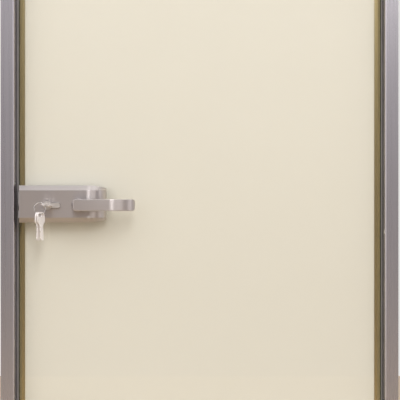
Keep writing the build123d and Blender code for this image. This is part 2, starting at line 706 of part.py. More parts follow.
def spare_key(side):
    """A key hanging bow up with the ring through its slot, one each side of the ring's lowest point."""
    hang = -(key_slot_y() - KEY_SLOT_HEIGHT / 2 + RING_WIRE / 2 + SPARE_HANG)
    hung = Pos(0, hang, 0) * key()
    upright = Rot(0, 0, 90 - SPARE_TURN) * Rot(90, 0, 0) * Rot(0, 0, 180) * hung
    centre = ring_centre()
    x = centre.X + side * SPARE_SPACING / 2
    return Pos(x, centre.Y, centre.Z - RING_RADIUS) * Rot(0, -side * SPARE_FAN, 0) * upright


# Hinges: a two-winged frame part with a pin, and clamps that grip the glass.
def boss_places(height):
    x = LEAF_HINGE_X - BOSS_BACKSET
    return [(x, height - BOSS_HALF_SPACING), (x, height + BOSS_HALF_SPACING)]


def clamp_plate(x0, x1, depth):
    """A plate with bevels round its outer face."""
    z = CLAMP_TALL / 2
    plate = block(x0, x1, -depth, -PAD_THICKNESS, -z, z)
    return chamfer(plate.faces().sort_by(Axis.Y)[0].edges(), CLAMP_BEVEL)


def knuckle_zone():
    half = HINGE_LEAF_KNUCKLE_TALL / 2
    return -half, half


def hinge_clamp_front(height):
    x1 = LEAF_HINGE_X - CLAMP_EDGE_INSET
    plate = on_front(clamp_plate(LEAF_HINGE_X - CLAMP_WIDTH, x1, CLAMP_DEPTH))
    low, high = knuckle_zone()
    r = HINGE_LEAF_KNUCKLE_RADIUS
    root_y = GLASS_FRONT_Y - PAD_THICKNESS
    front_y = GLASS_FRONT_Y - CLAMP_DEPTH
    arm_face = outline(
        (x1 - ARM_ROOT, root_y), (x1, root_y), (x1, HINGE_Y + r), (HINGE_X, HINGE_Y + r),
        (HINGE_X, HINGE_Y - r), (x1 - r, HINGE_Y - r + ARM_SHOULDER), (x1 - ARM_ROOT, front_y),
    )
    arm = extrude(Pos(0, 0, low) * arm_face, amount=high - low)
    knuckle = rod_z(HINGE_X, HINGE_Y, r, low, high)
    bore = rod_z(HINGE_X, HINGE_Y, HINGE_PIN_RADIUS + RUNNING_CLEARANCE, low - OVERRUN, high + OVERRUN)
    return Pos(0, 0, height) * (plate + arm + knuckle - bore)


def hinge_clamp_back(height):
    x1 = LIGHT_HINGE_X - BACK_CLAMP_STOP_GAP
    plate = Pos(0, 0, height) * on_back(clamp_plate(LEAF_HINGE_X - CLAMP_WIDTH, x1, BACK_CLAMP_DEPTH))
    for x, z in boss_places(height):
        plate += rod_y(x, z, BOSS_RADIUS, GLASS_FRONT_Y - PAD_THICKNESS, COAT_BACK_Y + PAD_THICKNESS)
    return plate


def hinge_pads(height):
    """A front and a back pad between the clamp plates and the glass, in the middle between the bosses."""
    x0 = LEAF_HINGE_X - CLAMP_WIDTH + PAD_INSET
    front_x1 = LEAF_HINGE_X - CLAMP_EDGE_INSET - PAD_INSET
    back_x1 = LIGHT_HINGE_X - BACK_CLAMP_STOP_GAP - PAD_INSET
    half = BOSS_HALF_SPACING - BOSS_RADIUS - PAD_HOLE_CLEARANCE
    low, high = height - half, height + half
    pads = block(x0, front_x1, GLASS_FRONT_Y - PAD_THICKNESS, GLASS_FRONT_Y, low, high)
    return pads + block(x0, back_x1, COAT_BACK_Y, COAT_BACK_Y + PAD_THICKNESS, low, high)


def hinge_frame_part(height):
    """A flange on the frame's face with a knuckle above and below the leaf's own."""
    x0 = HINGE_X - FLANGE_WIDTH / 4
    flange = block(
        x0, x0 + FLANGE_WIDTH, FRAME_FRONT_Y - FLANGE_THICKNESS, FRAME_FRONT_Y, -FLANGE_TALL / 2, FLANGE_TALL / 2
    )
    r = HINGE_FRAME_KNUCKLE_RADIUS
    part = flange
    for z0, z1 in frame_knuckle_spans():
        part += rod_z(HINGE_X, HINGE_Y, r, z0, z1)
        part += block(HINGE_X, HINGE_X + r, HINGE_Y, FRAME_FRONT_Y - FLANGE_THICKNESS, z0, z1)
    part -= rod_z(HINGE_X, HINGE_Y, HINGE_PIN_RADIUS + HINGE_PIN_FIT, -FLANGE_TALL, FLANGE_TALL)
    return Pos(0, 0, height) * part


def frame_knuckle_spans():
    low, high = knuckle_zone()
    gap = HINGE_KNUCKLE_GAP
    tall = HINGE_FRAME_KNUCKLE_TALL
    return (low - gap - tall, low - gap), (high + gap, high + gap + tall)


def hinge_pin(height):
    low = frame_knuckle_spans()[0][0]
    high = frame_knuckle_spans()[1][1]
    return Pos(0, 0, height) * rod_z(HINGE_X, HINGE_Y, HINGE_PIN_RADIUS, low, high)


def frame_nodes():
    seal = seal_section()
    cap = foot_cap()
    middle = (OUTER_LOCK_X + OUTER_HINGE_X) / 2
    return {
        "jamb_lock_side": jamb_lock_side(),
        "jamb_hinge_side": jamb_hinge_side(),
        "frame_head": head_rail(frame_section()),
        "foot_cap_lock_side": cap,
        "foot_cap_hinge_side": mirror(cap, about=Plane.YZ.offset(middle)),
        "seal_lock_side": lock_post(seal, FOOT_CAP_THICKNESS),
        "seal_hinge_side": hinge_post(seal, FOOT_CAP_THICKNESS),
        "seal_head": head_rail(seal),
        "strike_plate": strike_plate(),
        "strike_box": strike_box(),
    }


def leaf_nodes():
    return {
        "glass_pane": glass_pane(),
        "cream_coat": cream_coat(),
        "lock_case_front": lock_case_front(),
        "lock_case_back": lock_case_back(),
        "lock_pad_front": on_front(lock_pad(0)),
        "lock_pad_back": on_back(lock_pad(BACK_CASE_INSET)),
        "latch_bolt": latch_bolt(),
        "dead_bolt": dead_bolt(),
        "lever_bush_front": on_front(lever_bush(CASE_DEPTH)),
        "lever_bush_back": on_back(lever_bush(BACK_CASE_DEPTH)),
        "cylinder_body": cylinder_body(),
        "cylinder_plug_back": cylinder_plug_back(),
    }


def handle_and_key_nodes():
    return {
        "lever_front": on_front(lever(CASE_DEPTH)),
        "lever_back": on_back(lever(BACK_CASE_DEPTH)),
        "spindle": spindle(),
        "cylinder_plug_front": cylinder_plug_front(),
        "key_in_lock": key_in_lock(),
        "key_ring": key_ring(),
        "spare_key_1": spare_key(-1),
        "spare_key_2": spare_key(1),
    }


def hinge_nodes():
    nodes = {}
    for place, height in zip(("lower", "upper"), HINGE_HEIGHTS):
        nodes[f"hinge_clamp_front_{place}"] = hinge_clamp_front(height)
        nodes[f"hinge_clamp_back_{place}"] = hinge_clamp_back(height)
        nodes[f"hinge_pads_{place}"] = hinge_pads(height)
        nodes[f"hinge_frame_part_{place}"] = hinge_frame_part(height)
        nodes[f"hinge_pin_{place}"] = hinge_pin(height)
    return nodes


def save(name, shape):
    solids = shape.solids()
    export_step(solids[0] if len(solids) == 1 else Compound(children=solids), f"parts/{name}.step")


os.makedirs("parts", exist_ok=True)
for node_name, node_shape in {**frame_nodes(), **leaf_nodes(), **handle_and_key_nodes(), **hinge_nodes()}.items():
    save(node_name, node_shape)
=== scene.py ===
# %% [markdown]
# # A glass interior door, dressed for a picture
#
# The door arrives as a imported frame: an aluminium frame with a rebate, a glass leaf with a cream coat on its
# back, a horizontal lock case, two lever handles, a profile cylinder with keys, and two hinges. This lesson
# adds what the solids leave out: bevels, screws, a sprung key ring, softly rounded levers, and a finish for
# every surface. Everything is in metres: X to the right, Y into the door, Z up.

# %% Load the frame and note its size
from math import pi

import bmesh
import bpy
import numpy as np
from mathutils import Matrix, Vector


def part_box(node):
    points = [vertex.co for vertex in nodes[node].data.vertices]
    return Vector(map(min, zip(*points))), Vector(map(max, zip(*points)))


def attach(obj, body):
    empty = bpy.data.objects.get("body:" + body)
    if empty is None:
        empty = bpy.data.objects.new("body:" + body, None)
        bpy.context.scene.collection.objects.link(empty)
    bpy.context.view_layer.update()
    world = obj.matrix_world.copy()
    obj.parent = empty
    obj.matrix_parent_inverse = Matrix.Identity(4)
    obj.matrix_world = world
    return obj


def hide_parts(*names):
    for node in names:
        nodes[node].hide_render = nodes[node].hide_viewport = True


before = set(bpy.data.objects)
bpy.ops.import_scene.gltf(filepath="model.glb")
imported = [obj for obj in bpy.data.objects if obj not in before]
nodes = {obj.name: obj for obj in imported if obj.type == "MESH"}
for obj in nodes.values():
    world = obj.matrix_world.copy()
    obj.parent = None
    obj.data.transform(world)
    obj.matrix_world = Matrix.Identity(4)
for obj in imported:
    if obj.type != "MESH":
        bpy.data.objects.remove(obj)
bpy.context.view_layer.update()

# %% [markdown]
# ## Camera
#
# The photograph looks straight at the leaf, at the height of the handle. A constraint could aim the camera,
# but a straight view needs only one turn, 90 degrees about X. The distance of about three metres is a guess,
# and the lens follows from it and from the width of door that fills the frame.

# %% The camera
glass_low, glass_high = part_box("glass_pane")
eye_distance = 2.900
seen_width = 0.784
eye_height = 1.060

camera_data = bpy.data.cameras.new("photo_camera")
camera_data.sensor_width = 36.0
camera_data.lens = 36.0 * eye_distance / seen_width
camera = bpy.data.objects.new("photo_camera", camera_data)
camera.location = ((glass_low.x + glass_high.x) / 2, glass_low.y - eye_distance, eye_height)
camera.rotation_euler = (pi / 2, 0, 0)
bpy.context.scene.collection.objects.link(camera)
bpy.context.scene.camera = camera
bpy.context.scene.view_settings.view_transform = "Standard"
print("lens", round(camera_data.lens, 1), "mm")

# %% [markdown]
# ## Surroundings
#
# Satin metal is as dark or light as what it faces, so the room matters as much as the metal. A picture of a
# room could light it, but two colour ramps are enough and can be set band by band: dim at eye level, lighter
# towards the ceiling and to both sides. One tall luminaire above and behind the camera is the bright patch on
# every curve of the lock. The camera itself sees a plain pale backdrop, so the world is split by kind of ray.


# %% Node helpers
def new_material(name):
    """A material with its Principled shader, and the tree to add nodes to."""
    material = bpy.data.materials.new(name)
    material.use_nodes = True
    return material, material.node_tree, material.node_tree.nodes["Principled BSDF"]


def add(tree, kind, **values):
    """One node, with inputs set by name and other values set as properties."""
    node = tree.nodes.new(kind)
    for key, value in values.items():
        if key in node.inputs:
            node.inputs[key].default_value = value
        else:
            setattr(node, key, value)
    return node


def ramp(tree, factor, stops):
    """A colour ramp over factor, with stops of (place, colour)."""
    node = tree.nodes.new("ShaderNodeValToRGB")
    elements = node.color_ramp.elements
    while len(elements) < len(stops):
        elements.new(0.5)
    for element, (place, colour) in zip(elements, stops):
        element.position = place
        element.color = (*colour, 1.0)
    tree.links.new(factor, node.inputs["Fac"])
    return node.outputs["Color"]


print("node helpers: new_material, add, ramp")

# %% The world
world = bpy.data.worlds.new("studio")
bpy.context.scene.world = world
world.use_nodes = True
tree = world.node_tree
tree.nodes.clear()
direction = add(tree, "ShaderNodeTexCoord")
split = add(tree, "ShaderNodeSeparateXYZ")
tree.links.new(direction.outputs["Generated"], split.inputs["Vector"])
height = add(tree, "ShaderNodeMapRange", **{"From Min": -1.0, "From Max": 1.0})
tree.links.new(split.outputs["Z"], height.inputs["Value"])
sky = ramp(tree, height.outputs["Result"], [
    (0.300, (0.44, 0.40, 0.36)),
    (0.430, (0.38, 0.355, 0.34)),
    (0.470, (0.14, 0.134, 0.138)),
    (0.515, (0.14, 0.134, 0.142)),
    (0.570, (0.34, 0.330, 0.345)),
    (0.640, (0.47, 0.46, 0.48)),
    (0.750, (0.62, 0.61, 0.63)),
    (1.000, (0.72, 0.72, 0.73)),
])
sideways = add(tree, "ShaderNodeMapRange", **{"From Min": -1.0, "From Max": 1.0})
tree.links.new(split.outputs["X"], sideways.inputs["Value"])
sides = ramp(tree, sideways.outputs["Result"], [
    (0.015, (0.30, 0.29, 0.30)),
    (0.125, (1.18, 1.16, 1.15)),
    (0.290, (1.18, 1.16, 1.15)),
    (0.375, (0.0, 0.0, 0.0)),
    (0.600, (0.0, 0.0, 0.0)),
    (0.690, (0.66, 0.65, 0.65)),
    (0.850, (0.66, 0.65, 0.65)),
    (0.890, (0.16, 0.15, 0.16)),
    (0.950, (0.16, 0.15, 0.16)),
    (0.980, (0.82, 0.80, 0.81)),
])
around = add(tree, "ShaderNodeMix", data_type="RGBA", blend_type="ADD")
around.inputs[0].default_value = 1.0
tree.links.new(sky, around.inputs[6])
tree.links.new(sides, around.inputs[7])
lit = add(tree, "ShaderNodeBackground", Strength=1.0)
tree.links.new(around.outputs[2], lit.inputs["Color"])
backdrop = add(tree, "ShaderNodeBackground", Color=(0.80, 0.79, 0.77, 1.0), Strength=1.0)
path = add(tree, "ShaderNodeLightPath")
choose = add(tree, "ShaderNodeMixShader")
tree.links.new(path.outputs["Is Camera Ray"], choose.inputs["Fac"])
tree.links.new(lit.outputs["Background"], choose.inputs[1])
tree.links.new(backdrop.outputs["Background"], choose.inputs[2])
out = add(tree, "ShaderNodeOutputWorld")
tree.links.new(choose.outputs["Shader"], out.inputs["Surface"])
print("world", len(tree.nodes), "nodes")


# %% Lamps
def soft_lamp(name, place, target, size, power):
    """A rectangular white lamp at place that faces target."""
    data = bpy.data.lights.new(name, "AREA")
    data.shape = "RECTANGLE"
    data.size, data.size_y = size
    data.energy = power
    lamp = bpy.data.objects.new(name, data)
    lamp.location = place
    lamp.rotation_euler = (Vector(target) - Vector(place)).to_track_quat("-Z", "Y").to_euler()
    bpy.context.scene.collection.objects.link(lamp)


middle = Vector(((glass_low.x + glass_high.x) / 2, 0, eye_height))
soft_lamp("ceiling", middle + Vector((0.2, -1.6, 3.2)), middle, (3.6, 2.4), 17)
soft_lamp("luminaire", middle + Vector((0.24, -3.2, 2.1)), middle, (0.78, 2.0), 38)
soft_lamp("behind", middle + Vector((-0.8, 3.4, 2.2)), middle, (2.4, 1.6), 45)

# %% [markdown]
# ## Floor
#
# A plain pale floor carries the door's shadow. A ready-made plane would do, but here it is the first use of
# the way in which all new pieces are made: a grid of points from numpy, whose neighbours become faces.


# %% A grid of points becomes a mesh
def quads(points, first, wrap):
    """Faces (i, j), (i+1, j), (i+1, j+1), (i, j+1) of one grid. With wrap the last column meets the first."""
    rows, columns = points.shape[:2]
    index = first + np.arange(rows * columns).reshape(rows, columns)
    right = np.roll(index, -1, axis=1)
    faces = np.stack([index[:-1], index[1:], right[1:], right[:-1]], axis=-1)
    return faces[:, : None if wrap else -1].reshape(-1, 4)


def surface(name, *grids, wrap=True, smooth=True):
    """One mesh from grids of points. Equal points, as in a pole or a seam, are merged."""
    starts = np.cumsum([0] + [grid.shape[0] * grid.shape[1] for grid in grids])
    faces = np.concatenate([quads(grid, first, wrap) for grid, first in zip(grids, starts)])
    mesh = bpy.data.meshes.new(name)
    mesh.from_pydata(np.concatenate([grid.reshape(-1, 3) for grid in grids]).tolist(), [], faces.tolist())
    work = bmesh.new()
    work.from_mesh(mesh)
    bmesh.ops.remove_doubles(work, verts=work.verts, dist=1e-7)
    bmesh.ops.recalc_face_normals(work, faces=work.faces)
    work.to_mesh(mesh)
    work.free()
    mesh.polygons.foreach_set("use_smooth", np.full(len(mesh.polygons), smooth))
    mesh.update()
    piece = bpy.data.objects.new(name, mesh)
    bpy.context.scene.collection.objects.link(piece)
    return piece


print("a closed grid of 3 by 4 points has", len(quads(np.zeros((3, 4, 3)), 0, True)), "faces")

# %% The floor
x, y = np.meshgrid(np.linspace(-5.6, 6.4, 3), np.linspace(-6, 6, 3), indexing="ij")
just_below = -0.0002
floor = surface("floor", np.stack([x, y, np.zeros_like(x) + just_below], axis=-1), wrap=False, smooth=False)
material, _, shader = new_material("floor_paint")
shader.inputs["Base Color"].default_value = (0.465, 0.37, 0.255, 1)
shader.inputs["Roughness"].default_value = 0.8
floor.data.materials.append(material)
print("floor", len(floor.data.polygons), "faces")

# %% [markdown]
# ## Satin anodised aluminium
#
# The frame is drawn aluminium, etched and anodised: metal that blurs what it mirrors, with faint die lines
# along the bar. The lines could be a picture of scratches, or real grooves with a great many faces. They are
# noise instead, whose coordinates are squeezed across the bar and stretched along it.


# %% Brushed and drawn metal
def lined_metal(
    name, colour, roughness, along, fine=1500.0, depth=0.02, spread=0.02, tone=0.02, drawn=0.0, long=60
):
    """Metal with fine lines: noise of Object coordinates, stretched long times along one axis.

    drawn stretches highlights across the lines, as a brushed face does.
    """
    material, tree, shader = new_material(name)
    place = add(tree, "ShaderNodeTexCoord")
    stretch = add(tree, "ShaderNodeMapping")
    scale = [fine, fine, fine]
    scale["XYZ".index(along)] = fine / long
    stretch.inputs["Scale"].default_value = scale
    tree.links.new(place.outputs["Object"], stretch.inputs["Vector"])
    lines = add(tree, "ShaderNodeTexNoise", Scale=1.0, Detail=2.0, Roughness=0.6)
    tree.links.new(stretch.outputs["Vector"], lines.inputs["Vector"])
    clouds = add(tree, "ShaderNodeTexNoise", Scale=9.0, Detail=2.0)
    tree.links.new(place.outputs["Object"], clouds.inputs["Vector"])
    mixed = add(tree, "ShaderNodeMath", operation="MULTIPLY_ADD")
    tree.links.new(lines.outputs["Fac"], mixed.inputs[0])
    mixed.inputs[1].default_value = 0.5
    tree.links.new(clouds.outputs["Fac"], mixed.inputs[2])
    dark = tuple(c * (1 - tone) for c in colour)
    light = tuple(min(1.0, c * (1 + tone)) for c in colour)
    shade = ramp(tree, mixed.outputs["Value"], [(0.45, dark), (1.05, light)])
    tree.links.new(shade, shader.inputs["Base Color"])
    gloss = add(tree, "ShaderNodeMapRange", **{"From Min": 0.3, "From Max": 0.7})
    gloss.inputs["To Min"].default_value = roughness - spread
    gloss.inputs["To Max"].default_value = roughness + spread
    tree.links.new(lines.outputs["Fac"], gloss.inputs["Value"])
    tree.links.new(gloss.outputs["Result"], shader.inputs["Roughness"])
    bump = add(tree, "ShaderNodeBump", Strength=depth, Distance=0.0005)
    tree.links.new(lines.outputs["Fac"], bump.inputs["Height"])
    tree.links.new(bump.outputs["Normal"], shader.inputs["Normal"])
    shader.inputs["Metallic"].default_value = 1.0
    across = add(tree, "ShaderNodeVectorTransform", vector_type="VECTOR")
    across.convert_from, across.convert_to = "OBJECT", "WORLD"
    across.inputs["Vector"].default_value = (1, 0, 0) if along == "Z" else (0, 0, 1)
    tree.links.new(across.outputs["Vector"], shader.inputs["Tangent"])
    shader.inputs["Anisotropic"].default_value = drawn
    return material


def finish(material, *names):
    """Gives CAD nodes or pieces their material."""
    for name in names:
        mesh = bpy.data.objects[name].data
        mesh.materials.clear()
        mesh.materials.append(material)


silver, satin = (0.567, 0.536, 0.566), 0.28
bar = {"fine": 700.0, "depth": 0.012, "spread": 0.015, "tone": 0.015, "long": 500}
anodised = lined_metal("satin_anodised_upright", silver, satin, "Z", **bar)
anodised_head = lined_metal("satin_anodised_head", silver, satin, "X", **bar)
finish(anodised, "jamb_lock_side", "jamb_hinge_side")
finish(anodised_head, "frame_head")
print("frame finished in", anodised.name, "and", anodised_head.name)

# %% [markdown]
# ## Brushed stainless steel
#
# The lock cases, levers and hinges are brushed stainless steel. Brushing leaves parallel scratches that draw
# a highlight out across themselves. Bump alone would need scratches finer than a pixel, so the shader's
# anisotropy does it, and its tangent says which way. The lines run along the case and the lever, and up and
# down on the hinges.

# %% Stainless steel
brushed = lined_metal("brushed_stainless", (0.57, 0.525, 0.515), 0.32, "X", drawn=0.9)
brushed_upright = lined_metal("brushed_stainless_upright", (0.60, 0.55, 0.54), 0.31, "Z", drawn=0.6)
finish(brushed, "lock_case_front", "lock_case_back", "lever_front", "lever_back")
finish(brushed, "lever_bush_front", "lever_bush_back")
upright = [name for name in nodes if name.startswith(("hinge_clamp", "hinge_frame", "hinge_pin"))]
finish(brushed_upright, *upright)
finish(lined_metal("strike_steel", (0.26, 0.245, 0.25), 0.36, "Z"), "strike_plate")
print("brushed lengthways 6, upright", len(upright))

# %% [markdown]
# ## Zinc, nickel and plastics
#
# Bolts and spindle are zinc plated, the cylinder and keys nickel plated: a brighter, harder mirror with small
# scratches. The spare keys also carry a painted highlight: a near-white colour, only partly metallic, keeps
# them bright whatever they face. The seal is matt rubber, the foot caps and the strike box moulded plastic
# with a fine grain. Each could be a material set up by hand. One function for each kind of finish keeps the
# sizes of scratch and grain alike, and another colour of it costs one line.


# %% Plated metal
def plated(name, colour, roughness, scratch=0.25):
    """Bright plating: one noise, stretched into hair scratches, varies the roughness, and a second one the
    tone.
    """
    material, tree, shader = new_material(name)
    place = add(tree, "ShaderNodeTexCoord")
    stretch = add(tree, "ShaderNodeMapping")
    stretch.inputs["Scale"].default_value = (900, 300, 140)
    stretch.inputs["Rotation"].default_value = (0.3, 0.5, 0.2)
    tree.links.new(place.outputs["Object"], stretch.inputs["Vector"])
    hair = add(tree, "ShaderNodeTexNoise", Scale=1.0, Detail=3.0)
    tree.links.new(stretch.outputs["Vector"], hair.inputs["Vector"])
    gloss = add(tree, "ShaderNodeMapRange", **{"From Min": 0.35, "From Max": 0.75})
    gloss.inputs["To Min"].default_value = roughness
    gloss.inputs["To Max"].default_value = roughness + scratch
    tree.links.new(hair.outputs["Fac"], gloss.inputs["Value"])
    tree.links.new(gloss.outputs["Result"], shader.inputs["Roughness"])
    patches = add(tree, "ShaderNodeTexNoise", Scale=160.0, Detail=2.0)
    tree.links.new(place.outputs["Object"], patches.inputs["Vector"])
    dark = tuple(c * 0.95 for c in colour)
    tone = ramp(tree, patches.outputs["Fac"], [(0.35, dark), (0.6, colour)])
    tree.links.new(tone, shader.inputs["Base Color"])
    shader.inputs["Metallic"].default_value = 1.0
    return material


nickel = plated("nickel_plate", (0.70, 0.65, 0.61), 0.34, scratch=0.08)
# Spare keys: the near-white colour at 0.4 metallic is a painted highlight, standing in for the white
# reflection of polished nickel.
nickel_painted_highlight = plated("nickel_painted_highlight", (0.93, 0.89, 0.87), 0.30, scratch=0.1)
nickel_painted_highlight.node_tree.nodes["Principled BSDF"].inputs["Metallic"].default_value = 0.4
zinc = plated("zinc_plate", (0.56, 0.55, 0.56), 0.24)
finish(nickel, "cylinder_body", "cylinder_plug_front", "cylinder_plug_back", "key_in_lock")
finish(nickel_painted_highlight, "spare_key_1", "spare_key_2")
finish(zinc, "latch_bolt", "dead_bolt", "spindle")
print("plated 9 pieces")


# %% Moulded plastic and rubber
def moulded(name, colour, roughness, grain=2200.0, depth=0.15):
    """Plastic or rubber: one noise for the grain, a slower one for the tone."""
    material, tree, shader = new_material(name)
    place = add(tree, "ShaderNodeTexCoord")
    fine = add(tree, "ShaderNodeTexNoise", Scale=grain, Detail=1.0)
    tree.links.new(place.outputs["Object"], fine.inputs["Vector"])
    slow = add(tree, "ShaderNodeTexNoise", Scale=40.0, Detail=2.0)
    tree.links.new(place.outputs["Object"], slow.inputs["Vector"])
    dark = tuple(c * 0.88 for c in colour)
    tree.links.new(ramp(tree, slow.outputs["Fac"], [(0.3, dark), (0.7, colour)]), shader.inputs["Base Color"])
    bump = add(tree, "ShaderNodeBump", Strength=depth, Distance=0.0003)
    tree.links.new(fine.outputs["Fac"], bump.inputs["Height"])
    tree.links.new(bump.outputs["Normal"], shader.inputs["Normal"])
    shader.inputs["Roughness"].default_value = roughness
    return material


rubber = moulded("seal_rubber_matt", (0.29, 0.265, 0.28), 0.6)
finish(rubber, "seal_lock_side", "seal_hinge_side", "seal_head")
finish(moulded("foot_cap_plastic", (0.10, 0.10, 0.105), 0.5), "foot_cap_lock_side", "foot_cap_hinge_side")
finish(moulded("strike_box_plastic", (0.03, 0.03, 0.032), 0.45), "strike_box")
pads = moulded("pad_plastic_pale", (0.55, 0.55, 0.52), 0.5)
finish(pads, "lock_pad_front", "lock_pad_back", "hinge_pads_lower", "hinge_pads_upper")
print("plastics on 10 nodes")

# %% [markdown]
# ## The leaf
#
# The colour is an even coat on the back of the pane, so from the front it shows through eight millimetres of
# glass, and round it the bare glass shows the seal and the stop with an olive tint. A refracting shader would
# keep the lamps' light from the coat and need many samples. The pane is a shader of two parts instead: what
# passes through is tinted, and four hundredths of the light, more at a low angle, are mirrored. The polished
# edge is greener.

# %% The cream coat
material, tree, shader = new_material("cream_colour_coat")
place = add(tree, "ShaderNodeTexCoord")
drift = add(tree, "ShaderNodeTexNoise", Scale=2.2, Detail=2.0)
tree.links.new(place.outputs["Object"], drift.inputs["Vector"])
cream = ramp(tree, drift.outputs["Fac"], [(0.3, (0.82, 0.808, 0.724)), (0.7, (0.835, 0.823, 0.739))])
tree.links.new(cream, shader.inputs["Base Color"])
shader.inputs["Roughness"].default_value = 0.55
finish(material, "cream_coat")
print("coat", material.name)

# %% The glass
material, tree, shader = new_material("clear_glass_pane")
tree.nodes.remove(shader)
place = add(tree, "ShaderNodeTexCoord")
split = add(tree, "ShaderNodeSeparateXYZ")
tree.links.new(place.outputs["Normal"], split.inputs["Vector"])
flatness = add(tree, "ShaderNodeMath", operation="ABSOLUTE")
tree.links.new(split.outputs["Y"], flatness.inputs[0])
where = add(tree, "ShaderNodeSeparateXYZ")
tree.links.new(place.outputs["Object"], where.inputs["Vector"])


def beyond(axis, edge, sign):
    """How far a point lies past the coat's edge along one axis."""
    node = add(tree, "ShaderNodeMath", operation="MULTIPLY_ADD")
    tree.links.new(where.outputs[axis], node.inputs[0])
    node.inputs[1].default_value = sign
    node.inputs[2].default_value = -sign * edge
    return node.outputs["Value"]


coat_low, coat_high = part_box("cream_coat")
sideways = add(tree, "ShaderNodeMath", operation="MAXIMUM")
tree.links.new(beyond("X", coat_low.x, -1), sideways.inputs[0])
tree.links.new(beyond("X", coat_high.x, 1), sideways.inputs[1])
outside = add(tree, "ShaderNodeMath", operation="MAXIMUM")
tree.links.new(sideways.outputs["Value"], outside.inputs[0])
tree.links.new(beyond("Z", coat_high.z, 1), outside.inputs[1])
margin = add(tree, "ShaderNodeMapRange", **{"From Min": -0.0003, "From Max": 0.0008})
tree.links.new(outside.outputs["Value"], margin.inputs["Value"])
tint = ramp(tree, margin.outputs["Result"], [(0.0, (0.995, 0.99, 0.98)), (1.0, (0.99, 0.945, 0.77))])
edge_or_face = add(tree, "ShaderNodeMix", data_type="RGBA")
facewise = add(tree, "ShaderNodeMapRange", **{"From Min": 0.80, "From Max": 0.95})
tree.links.new(flatness.outputs["Value"], facewise.inputs["Value"])
tree.links.new(facewise.outputs["Result"], edge_or_face.inputs[0])
edge_or_face.inputs[6].default_value = (0.30, 0.36, 0.22, 1)
tree.links.new(tint, edge_or_face.inputs[7])
through = add(tree, "ShaderNodeBsdfTransparent")
tree.links.new(edge_or_face.outputs[2], through.inputs["Color"])
mirror = add(tree, "ShaderNodeBsdfGlossy", Roughness=0.02)
mirror.inputs["Color"].default_value = (0.95, 0.97, 0.95, 1)
facing = add(tree, "ShaderNodeLayerWeight", Blend=0.5)
steep = add(tree, "ShaderNodeMath", operation="POWER")
tree.links.new(facing.outputs["Facing"], steep.inputs[0])
steep.inputs[1].default_value = 5.0
share = add(tree, "ShaderNodeMath", operation="MULTIPLY_ADD")
tree.links.new(steep.outputs["Value"], share.inputs[0])
head_on = 0.04
share.inputs[1].default_value = 1 - head_on
share.inputs[2].default_value = head_on
true = add(tree, "ShaderNodeNewGeometry")
tree.links.new(true.outputs["True Normal"], mirror.inputs["Normal"])
tree.links.new(true.outputs["True Normal"], facing.inputs["Normal"])
both = add(tree, "ShaderNodeMixShader")
tree.links.new(share.outputs["Value"], both.inputs["Fac"])
tree.links.new(through.outputs["BSDF"], both.inputs[1])
tree.links.new(mirror.outputs["BSDF"], both.inputs[2])
tree.links.new(both.outputs["Shader"], tree.nodes["Material Output"].inputs["Surface"])
finish(material, "glass_pane")
print("glass", len(tree.nodes), "nodes")

# %% [markdown]
# ## Screws
#
# Hinges, strike and frame are screwed on. A head could be a cylinder from which a Boolean cuts a hexagon, but
# that leaves long thin faces. Here it is a profile turned about the screw's axis. The socket is the same
# turning with a radius that depends on the angle, so one grid of rings makes head and socket together.


# %% A countersunk screw head
def screw_head(name, place, axis, radius, body, rise=0.0004, turn=0.3):
    """Rings about axis, of radius r where round and s / cos(a - b) in the socket, b being a flat's middle."""
    angle = np.linspace(0, 2 * pi, 48, endpoint=False)
    socket = radius * 0.42
    hexagon = socket / np.cos((angle + turn) % (pi / 3) - pi / 6)
    ring = np.ones_like(angle)
    rings = [
        (ring * radius * 0.55, -radius * 0.5),
        (ring * radius, -0.0001),
        (ring * radius * 0.985, rise * 0.6),
        (ring * radius * 0.93, rise),
        (ring * radius * 0.72, rise * 1.15),
        (hexagon * 1.03, rise * 1.2),
        (hexagon * 0.98, rise),
        (hexagon * 0.96, -radius * 0.42),
        (hexagon * 0.05, -radius * 0.46),
    ]
    axis = Vector(axis).normalized()
    side = axis.orthogonal().normalized()
    up = axis.cross(side)
    around = np.cos(angle)[:, None] * np.array(side) + np.sin(angle)[:, None] * np.array(up)
    grid = np.stack([np.array(place) + r[:, None] * around + h * np.array(axis) for r, h in rings])
    piece = surface(name, grid)
    piece.data.materials.append(screw_steel)
    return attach(piece, body)


screw_steel = plated("screw_steel", (0.60, 0.59, 0.58), 0.22, scratch=0.15)

# %% Screws in the hinges, the strike and the frame
small, medium, large = 0.0034, 0.0036, 0.0055
flange_x, flange_face, flange_reach = 0.7465, -0.0425, 0.046
boss_x, boss_reach = glass_high.x - 0.042, 0.022
for place_name in ("lower", "upper"):
    low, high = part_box(f"hinge_frame_part_{place_name}")
    clamp_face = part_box(f"hinge_clamp_back_{place_name}")[1].y
    centre = (low.z + high.z) / 2
    for word, sign in (("low", -1), ("high", 1)):
        flange = (flange_x, flange_face, centre + sign * flange_reach)
        screw_head(f"flange_screw_{place_name}_{word}", flange, (0, -1, 0), medium, "frame")
        boss = (boss_x, clamp_face, centre + sign * boss_reach)
        screw_head(f"clamp_screw_{place_name}_{word}", boss, (0, 1, 0), large, "leaf")

strike_low, strike_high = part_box("strike_plate")
strike_x = strike_high.x
strike_y = (strike_low.y + strike_high.y) / 2
from_end = 0.005
for word, z in (("low", strike_low.z + from_end), ("high", strike_high.z - from_end)):
    screw_head(f"strike_screw_{word}", (strike_x, strike_y, z), (1, 0, 0), small, "frame")

hinge_face_x, rebate_y = glass_high.x + 0.005, -0.027
for word, z in (("low", 0.147), ("middle", 0.997), ("high", 1.847)):
    screw_head(f"wall_screw_hinge_side_{word}", (hinge_face_x, rebate_y, z), (-1, 0, 0), large, "frame")
    if word != "middle":
        screw_head(f"wall_screw_lock_side_{word}", (strike_x, rebate_y, z), (1, 0, 0), large, "frame")

